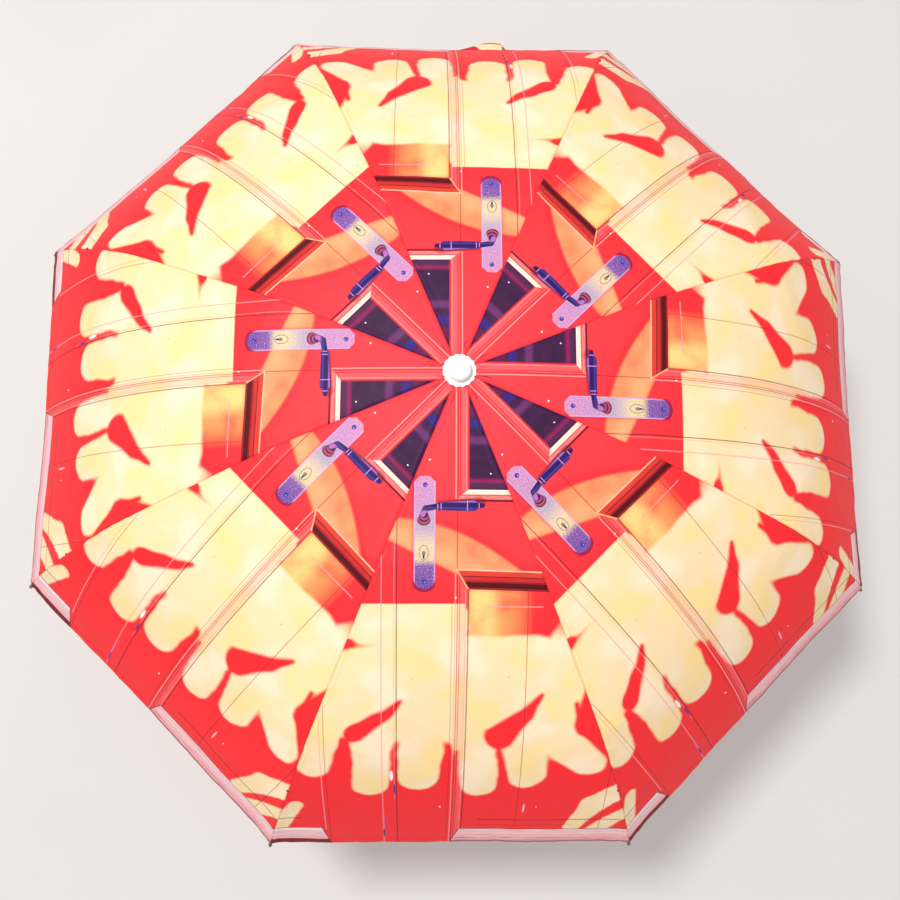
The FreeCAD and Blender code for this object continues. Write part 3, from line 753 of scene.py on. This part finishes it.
def gather(piece, rib, gore, sign, span):
    """The piece rides on its rib."""
    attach(piece, rib)
    seam = (cloth_base(gore, sign, span[1]) - cloth_base(gore, sign, span[0])).normalized()
    across = Vector((0, 0, 0))
    for q in span:
        r = min(q / station(1.0, 0.0), HEM_R)
        across += cloth_base(gore, 0.0, r) - cloth_base(gore, sign, q)
    across -= seam * across.dot(seam)
    cloth_base(gore, sign, sum(span) / 2)
    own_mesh(piece)


def cut_ends(name, r0, r1, t):
    """Rib radii at which a section begins and ends; t is 0 in the gore's middle and 1 at its seam."""
    low = station(EYE_R, t) if name == "inner" else r0
    high = station(HEM_R, t) if name == "outer" else r1
    return low / station(1.0, t), high / station(1.0, t)


def flat_cut(name, r0, r1, strips=40):
    """Width, length and area of one section laid flat, before it is sewn."""
    stretch = PRINT_LENGTH / arc(HEM_R)
    area = 0.0
    for i in range(strips):
        low, high = cut_ends(name, r0, r1, (i + 0.5) / strips)
        area += (low + high) / 2 * math.sin(HALF) / strips * (arc(high) - arc(low)) * stretch
    length = (arc(cut_ends(name, r0, r1, 0.0)[1]) - arc(r0)) * stretch
    return r1 * math.sin(HALF), length, area


def half_gore(gore, right, section, top, under):
    """One section of one half of a gore: the cloth between the gore's middle and one rib."""
    name, rib_kind, r0, r1, columns, rows, keep = section
    sign = 1 if right else -1
    rib = (gore - 1) % RIBS + 1 if right else gore + 1
    stretch = PRINT_LENGTH / arc(HEM_R)

    def place(a, b):
        near = (1 - a) if right else a
        t = sign * (1 - near**1.6)  # rows lie closer together by the seam
        low, high = cut_ends(name, r0, r1, abs(t))
        r = low + (high - low) * b
        u = t * r * math.sin(HALF) + UV_SHIFT
        return cloth_point(gore, t, r), (u, arc(r) * stretch), (1 - abs(t)) * r * math.sin(HALF)

    piece = grid_piece(f"cloth_{name}_{gore + 1}_{'right' if right else 'left'}", columns, rows, place)
    piece.data.materials.append(top)
    piece.data.materials.append(under)
    apply_modifier(piece, "SOLIDIFY", thickness=CLOTH, offset=-1, material_offset=1)
    smooth(piece)
    gather(piece, f"{rib_kind}_{rib}", gore, sign, (r0, r1))
    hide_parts(f"canopy_panel_{gore + 1}")
    width, length, area = flat_cut(name, r0, r1)
    return piece


def make_canopy():
    top = canopy_finish()
    under = lining_finish()
    for gore in range(RIBS):
        for right in (True, False):
            for section in SECTIONS:
                half_gore(gore, right, section, top, under)


# ---- small cloth pieces ----
def rib_axes(rib):
    """Outward and sideways directions of a rib, numbered from 1."""
    angle = HALF + STEP * (rib - 1)
    return Vector((math.cos(angle), math.sin(angle), 0)), Vector((-math.sin(angle), math.cos(angle), 0))


def rib_point(rib, r, z, side=0.0):
    """A point r out along a rib, at height z."""
    out, across = rib_axes(rib)
    point = out * r + across * side
    point.z = z
    return point


def seam_height(r):
    return cloth_height(r, 1.0)


CENTRE = 0.02  # a distance from the seam at which small pieces show no seam


def joint_patch(rib, number, joint_r, finish):
    """A square of cloth folded over a rib joint, between the joint and the canopy."""
    half_length, half_width, under = 0.011, 0.0075, 0.0011

    def place(a, b):
        r = joint_r + (b - 0.5) * 2 * half_length
        side = (a - 0.5) * 2 * half_width
        outer = abs(a * 2 - 1)
        droop = 0.0042 * outer ** 2.4
        wave = 0.00015 * math.sin(b * 17 + rib + number) * outer
        point = rib_point(rib, r, seam_height(r) - under - droop + wave, side * (1 - 0.12 * outer))
        return point, (a * 2 * half_width, b * 2 * half_length), CENTRE

    patch = grid_piece(f"joint_patch_{number}_{rib}", 14, 20, place)
    patch.data.materials.append(finish)
    apply_modifier(patch, "SOLIDIFY", thickness=0.0003, offset=-1)
    smooth(patch, 50)
    low, high = joint_r - half_length * 0.6, joint_r + half_length * 0.6
    start = rib_point(rib, low, seam_height(low))
    end = rib_point(rib, high, seam_height(high))
    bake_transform(patch)


def patch_finish():
    """Plain red cloth."""
    f = Finish("joint_patch_cloth", specular_ior_level=0.25)
    x, y, z = f.parts(f.place())
    cloud = f.noise(f.place(), 260.0, 3.0)
    f.link(f.mix(cloud, paint("C4141F"), paint("E03138")), "Base Color")
    f.link(cloud * 0.15 + 0.6, "Roughness")
    weave = (x * 7000.0).sine() * (y * 7000.0).sine() + (z * 5200.0).sine() * 0.4
    f.bump(weave, 0.2, 0.0003)
    return f.material


def strap_finish():
    """The closing strap's print: red, with a broad cream stroke and a red stripe through it."""
    f = Finish("printed_strap_cloth", specular_ior_level=0.28)
    x, y = cloth_places(f)
    cloud = f.noise(f.join(x, y), 0.16, 3.0)
    red = f.mix((cloud - 0.3).clip(), paint("C2101C"), paint("EE3038"))
    cream = f.mix(cloud, paint("F7D3A6"), paint("FCE6BE"))
    stroke = (x + y * 0.8 + (cloud - 0.5) * 6.0).above(30.0, 1.2)
    colour = f.mix(stroke, red, cream)
    stripe = (y + (x - 44.0) * 0.02).line(8.4, 0.9, 0.5) * x.within(31.0, 58.0, 1.5)
    colour = f.mix(stripe, colour, paint("D8141F"))
    dark = x.above(57.0, 0.8) * y.below(5.5, 0.8)
    colour = f.mix(dark * 0.8, colour, paint("420A12"))
    dash = (y * 2.6).sine().above(-0.35, 0.25)
    thread = x.line(60.3, 0.25, 0.15) * y.below(-14.0, 0.5) * dash
    f.link(f.mix(thread * 0.6, colour, paint("70101E")), "Base Color")
    f.link(cloud * 0.12 + 0.5, "Roughness")
    f.bump(cloth_weave(f, x, y, thread), 0.14, 0.0004)
    return f.material


HEM_Y = HEM_R * math.cos(HALF)  # the hem of the gore that looks along +Y
STRAP_Z = dome(HEM_R) - 0.0034
STRAP_X = -0.002  # the strap runs from here along the hem
STRAP_WIDTH = 0.064
STRAP_TAIL = 0.062
TAIL_X = 0.037  # where the hanging end begins
STRAP_BACK = 0.0132  # how far inside the hem the end hangs
FOLD_SHARE = 0.3  # of the grid's rows lie in the folded part
PEAK_X = 0.045  # where the fold stands out furthest
STRAP_RIB = "outer_rib_2"


def strap_edge(x):
    """How far the strap's fold stands out beyond the hem, in metres, for x in metres."""
    if x < PEAK_X:
        share = max(0.0, (x - STRAP_X) / (PEAK_X - STRAP_X))
        return -0.0005 + 0.0135 * share**1.25
    share = (x - PEAK_X) / (STRAP_X + STRAP_WIDTH - PEAK_X)
    return 0.013 - 0.0115 * max(0.0, share)**2.2


def tail_curl(down):
    """How far the strap's hanging end curls outwards."""
    return 0.013 * (down / STRAP_TAIL) ** 2


def make_strap():
    """The closing strap: folded over the hem, with one end hanging inside it."""
    def place(a, b):
        x = STRAP_X + STRAP_WIDTH * a
        reach = strap_edge(x)
        if b <= FOLD_SHARE:
            share = b / FOLD_SHARE
            y = reach + (-STRAP_BACK - reach) * share
            rise = 0.0028 * math.sin(math.pi * min(1.0, share * 1.15)) * math.sin(math.pi * a) ** 0.7
            z = rise - 0.0022 * (1 - share) ** 3 - 0.0016 * (1 - a) * (1 - share)
            return Vector((x, HEM_Y + y, STRAP_Z + z)), (x + UV_SHIFT, y), CENTRE
        down = (b - FOLD_SHARE) / (1 - FOLD_SHARE) * STRAP_TAIL
        sway = tail_curl(down) + 0.0006 * math.sin(down * 95 + a * 2) * min(1.0, down / 0.02)
        point = Vector((x, HEM_Y - STRAP_BACK + sway, STRAP_Z - down))
        return point, (x + UV_SHIFT, -STRAP_BACK - down), CENTRE

    strap = grid_piece("closing_strap", 48, 70, place)
    clean(strap)
    bpy.ops.object.mode_set(mode="EDIT")
    bpy.ops.mesh.select_all(action="DESELECT")
    bpy.ops.object.mode_set(mode="OBJECT")
    prints = strap.data.uv_layers["print_map"].data
    for face in strap.data.polygons:
        corner = prints[face.loop_start].uv
        face.select = corner.x < UV_SHIFT + TAIL_X and corner.y < -STRAP_BACK - 0.0003
    bpy.ops.object.mode_set(mode="EDIT")
    bpy.ops.mesh.delete(type="FACE")
    bpy.ops.object.mode_set(mode="OBJECT")
    strap.data.materials.append(strap_finish())
    apply_modifier(strap, "SOLIDIFY", thickness=0.0011, offset=0)
    apply_modifier(strap, "BEVEL", width=0.0003, segments=2, limit_method="ANGLE")
    smooth(strap, 50)
    gather(strap, STRAP_RIB, 2, 1, (JOINT_2_R, HEM_R))
    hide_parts("closure_strap")


def hook_tape_finish():
    """Dark red tape with a bed of small hooks."""
    f = Finish("hook_tape", specular_ior_level=0.3)
    hooks = f.cells(f.place(), 1500.0)
    f.link(f.mix(hooks, paint("5A0A12"), paint("C22A30")), "Base Color")
    f.link(hooks * 0.2 + 0.6, "Roughness")
    f.bump(hooks, 0.5, 0.0006)
    return f.material


def make_hook_tape():
    """The hook tape sewn to the inner side of the strap's hanging end."""
    bpy.ops.object.select_all(action="DESELECT")
    place = (0.050, HEM_Y - 0.0143, STRAP_Z - 0.050)
    bpy.ops.mesh.primitive_cube_add(size=1, location=place, scale=(0.020, 0.0010, 0.021))
    tape = bpy.context.object
    tape.name = "strap_hook_tape"
    settle(tape)
    bpy.ops.object.mode_set(mode="EDIT")
    bpy.ops.mesh.select_all(action="SELECT")
    bpy.ops.mesh.subdivide(number_cuts=9)
    bpy.ops.object.mode_set(mode="OBJECT")
    for vertex in tape.data.vertices:
        vertex.co.y += tail_curl(STRAP_Z - vertex.co.z)
    apply_modifier(tape, "BEVEL", width=0.0003, segments=2, limit_method="ANGLE")
    smooth(tape, 50)
    tape.data.materials.append(hook_tape_finish())
    gather(tape, STRAP_RIB, 2, 1, (JOINT_2_R, HEM_R))
    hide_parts("closure_tab")


def thread_finish():
    """Dark red sewing thread."""
    f = Finish("sewing_thread")
    strands = f.noise(f.place(), 2600.0, 2.0)
    f.link(f.mix(strands, paint("7C0E18"), paint("C4202A")), "Base Color")
    f.link(strands * 0.2 + 0.6, "Roughness")
    f.bump(strands, 0.3, 0.0002)
    return f.material


THREAD_R = 0.0003
TIES = (  # rib, place along it, drop below the seam and radius of the turns
    ("main_rib", 0.100, 0.0046, 0.0031), ("middle_rib", 0.262, 0.0048, 0.0031),
    ("outer_rib", 0.405, 0.0030, 0.0022),
)


def thread_tie(rib, body, r, drop, radius, finish, turns=3):
    """A few turns of thread that tie the seam to its rib."""
    low = rib_point(rib, r + 0.001, seam_height(r + 0.001))
    slope = (low - rib_point(rib, r - 0.001, seam_height(r - 0.001))).normalized()
    facing = slope.to_track_quat("Z", "Y").to_euler()
    made = []
    for turn in range(turns):
        bpy.ops.object.select_all(action="DESELECT")
        place = rib_point(rib, r + (turn - 1) * 2 * THREAD_R, seam_height(r) - drop)
        bpy.ops.mesh.primitive_torus_add(major_segments=20, minor_segments=6, major_radius=radius,
                                         minor_radius=THREAD_R, location=place, rotation=facing)
        made.append(bpy.context.object)
        made[-1].scale = (0.8, 1.15, 1.0)
    for ring in made:
        ring.select_set(True)
    bpy.context.view_layer.objects.active = made[0]
    bpy.ops.object.join()
    tie = bpy.context.object
    tie.name = f"thread_tie_{body}_{int(r * 1000)}"
    settle(tie)
    bpy.ops.object.shade_smooth()
    tie.data.materials.append(finish)
    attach(tie, body)


def make_small_cloth():
    patch = patch_finish()
    thread = thread_finish()
    for rib in range(1, RIBS + 1):
        joint_patch(rib, 1, JOINT_1_R, patch)
        joint_patch(rib, 2, JOINT_2_R, patch)
        for kind, r, drop, radius in TIES:
            thread_tie(rib, f"{kind}_{rib}", r, drop, radius, thread)


make_canopy()
make_strap()
make_hook_tape()
make_small_cloth()


# ---- finishes of the frame's own parts ----
def plastic(name, low, high, rough, grain, depth, coat=0.0):
    """Moulded plastic: two close shades, uneven gloss and a fine grain."""
    f = Finish(name, coat_weight=coat)
    cloud = f.noise(f.place(), 90.0, 3.0)
    fine = f.noise(f.place(), grain, 2.0)
    f.link(f.mix(cloud, paint(low), paint(high)), "Base Color")
    f.link(cloud * 0.12 + fine * 0.06 + (rough - 0.09), "Roughness")
    f.bump(fine, depth, 0.0003)
    return f.material


TIP_CAP_R = 0.4716  # the ribs' black tip caps begin here


def metal(name, low, high, rough, along_z=1.0, tips=False):
    """Drawn or rolled metal: fine lines, dull patches and slight tarnish."""
    f = Finish(name, metallic=1.0)
    x, y, z = f.parts(f.place())
    lines = f.noise(f.join(x, y, z * along_z), 1400.0, 3.0)
    cloud = f.noise(f.place(), 60.0, 4.0)
    colour = f.mix((cloud - 0.35).clip() * 2.0, paint(low), paint(high))
    if tips:
        radius = (x * x + y * y).math("SQRT")
        cap = radius.above(TIP_CAP_R, 0.0002)
        colour = f.mix(cap, colour, f.mix(cloud, paint("1F1A1C"), paint("4A3F40")))
    f.link(f.mix(lines * 0.35, colour, paint(low)), "Base Color")
    f.link(lines * 0.14 + cloud * 0.14 + (rough - 0.14), "Roughness")
    f.bump(lines, 0.12, 0.0002)
    return f.material


def grip_finish():
    """Soft-touch grip with a pebbled skin and slightly shiny worn places."""
    f = Finish("soft_grip", specular_ior_level=0.4)
    pebbles = f.cells(f.place(), 900.0)
    wear = f.noise(f.place(), 40.0, 3.0)
    f.link(f.mix(wear, paint("131314"), paint("242425")), "Base Color")
    f.link(0.72 - (wear - 0.4).clip() * 0.6, "Roughness")
    f.bump(pebbles, 0.35, 0.0004)
    return f.material


def dress_frame():
    """Give each of the frame's visible parts its finish."""
    grip = grip_finish()
    trim = plastic("black_trim_gloss", "101011", "1B1B1D", 0.32, 500.0, 0.05, 0.3)
    nylon = plastic("black_nylon", "17171A", "26262A", 0.48, 1100.0, 0.12)
    white = plastic("white_gloss_plastic", "EDEBE6", "FBFAF7", 0.2, 700.0, 0.03, 0.4)
    grey = plastic("grey_button_plastic", "55575B", "6A6C70", 0.4, 800.0, 0.08)
    shaft = metal("bright_steel_tube", "A9ABAE", "D6D8DA", 0.24, 0.02)
    black = metal("black_enamelled_tube", "121214", "2A2A2D", 0.32, 0.02)
    steel = metal("plated_rib_steel", "8C8E91", "C3C5C8", 0.34, 0.3)
    light = metal("bright_rib_aluminium", "B9BBBD", "E3E4E5", 0.3, 0.3)
    rod = metal("rib_rod_steel", "8E9093", "C9CACC", 0.32, 0.3, True)
    spring = metal("spring_steel", "77797C", "B5B7BA", 0.28, 0.3)
    wears = {
        "handle_grip": grip, "handle_end_plug": trim, "handle_collar": trim, "lower_tube": shaft,
        "lower_tube_detent": spring, "middle_tube": shaft, "middle_tube_detent": spring,
        "top_tube": black, "crown": nylon, "crown_ring_wire": spring, "canopy_washer": white,
        "canopy_cap": white,
        "runner": nylon, "runner_button_spring": spring, "runner_button": grey,
    }
    for rib in range(1, RIBS + 1):
        wears[f"main_rib_{rib}"] = steel
        wears[f"middle_rib_{rib}"] = light
        wears[f"outer_rib_{rib}"] = rod
        wears[f"stretcher_{rib}"] = steel
    for name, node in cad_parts.items():
        if name not in wears:
            continue
        if not node.material_slots:
            node.data.materials.append(wears[name])
        for slot in node.material_slots:
            slot.material = wears[name]


dress_frame()


# ---- camera, light and floor ----
CAMERA_PLACE = (-0.071, -0.456, 2.211)  # from the middle of the rim, in tip radii
CAMERA_LOOK = (0.030, 0.171, -0.985)
CAMERA_UP = (-0.008, 0.985, 0.171)
CAMERA_LENS = 39.6
KEY_PLACE = (-0.62, 0.34, 2.77)
KEY_AIM = (0, 0, 0.4)
KEY_SIZE = 0.45
KEY_POWER = 41.0
KEY_COLOUR = (1.0, 0.985, 0.965)
WORLD_COLOUR = (1.0, 0.995, 0.985, 1)
WORLD_STRENGTH = 0.66
FLOOR_SIZE = 60


def make_camera():
    """The view from above and slightly in front."""
    data = bpy.data.cameras.new("camera")
    camera = bpy.data.objects.new("camera", data)
    bpy.context.scene.collection.objects.link(camera)
    data.sensor_width = 36.0
    data.lens = CAMERA_LENS
    data.clip_start = 0.01
    place = Vector(CAMERA_PLACE) * TIP_R + Vector((0, 0, RIM_Z))
    look = Vector(CAMERA_LOOK).normalized()
    up = Vector(CAMERA_UP)
    right = look.cross(up).normalized()
    up = right.cross(look)
    turn = Matrix((right, up, -look)).transposed()
    camera.matrix_world = Matrix.Translation(place) @ turn.to_4x4()
    bpy.context.scene.camera = camera


def make_key_light():
    """A round lamp, high to the left of the umbrella and behind it."""
    data = bpy.data.lights.new("key", "AREA")
    data.shape = "DISK"
    data.size = KEY_SIZE
    data.energy = KEY_POWER
    data.color = KEY_COLOUR
    light = bpy.data.objects.new("key", data)
    bpy.context.scene.collection.objects.link(light)
    light.location = KEY_PLACE
    light.rotation_euler = (Vector(KEY_AIM) - Vector(KEY_PLACE)).to_track_quat("-Z", "Y").to_euler()


def make_studio():
    """A wide pale floor under an even, nearly white sky."""
    bpy.ops.object.select_all(action="DESELECT")
    bpy.ops.mesh.primitive_plane_add(size=FLOOR_SIZE, location=(0, 0, -0.001))
    floor = bpy.context.object
    floor.name = "studio_floor"
    f = Finish("pale_floor", roughness=0.95, specular_ior_level=0.1)
    shade = f.noise(f.place(), 3.0, 2.0)
    f.link(f.mix(shade, paint("E3E1DF"), paint("E9E7E5")), "Base Color")
    floor.data.materials.append(f.material)
    settle(floor)
    world = bpy.data.worlds.new("studio")
    bpy.context.scene.world = world
    world.use_nodes = True
    sky = world.node_tree.nodes["Background"]
    sky.inputs["Color"].default_value = WORLD_COLOUR
    sky.inputs["Strength"].default_value = WORLD_STRENGTH
    bpy.context.scene.view_settings.view_transform = "Standard"


make_camera()
make_studio()
make_key_light()
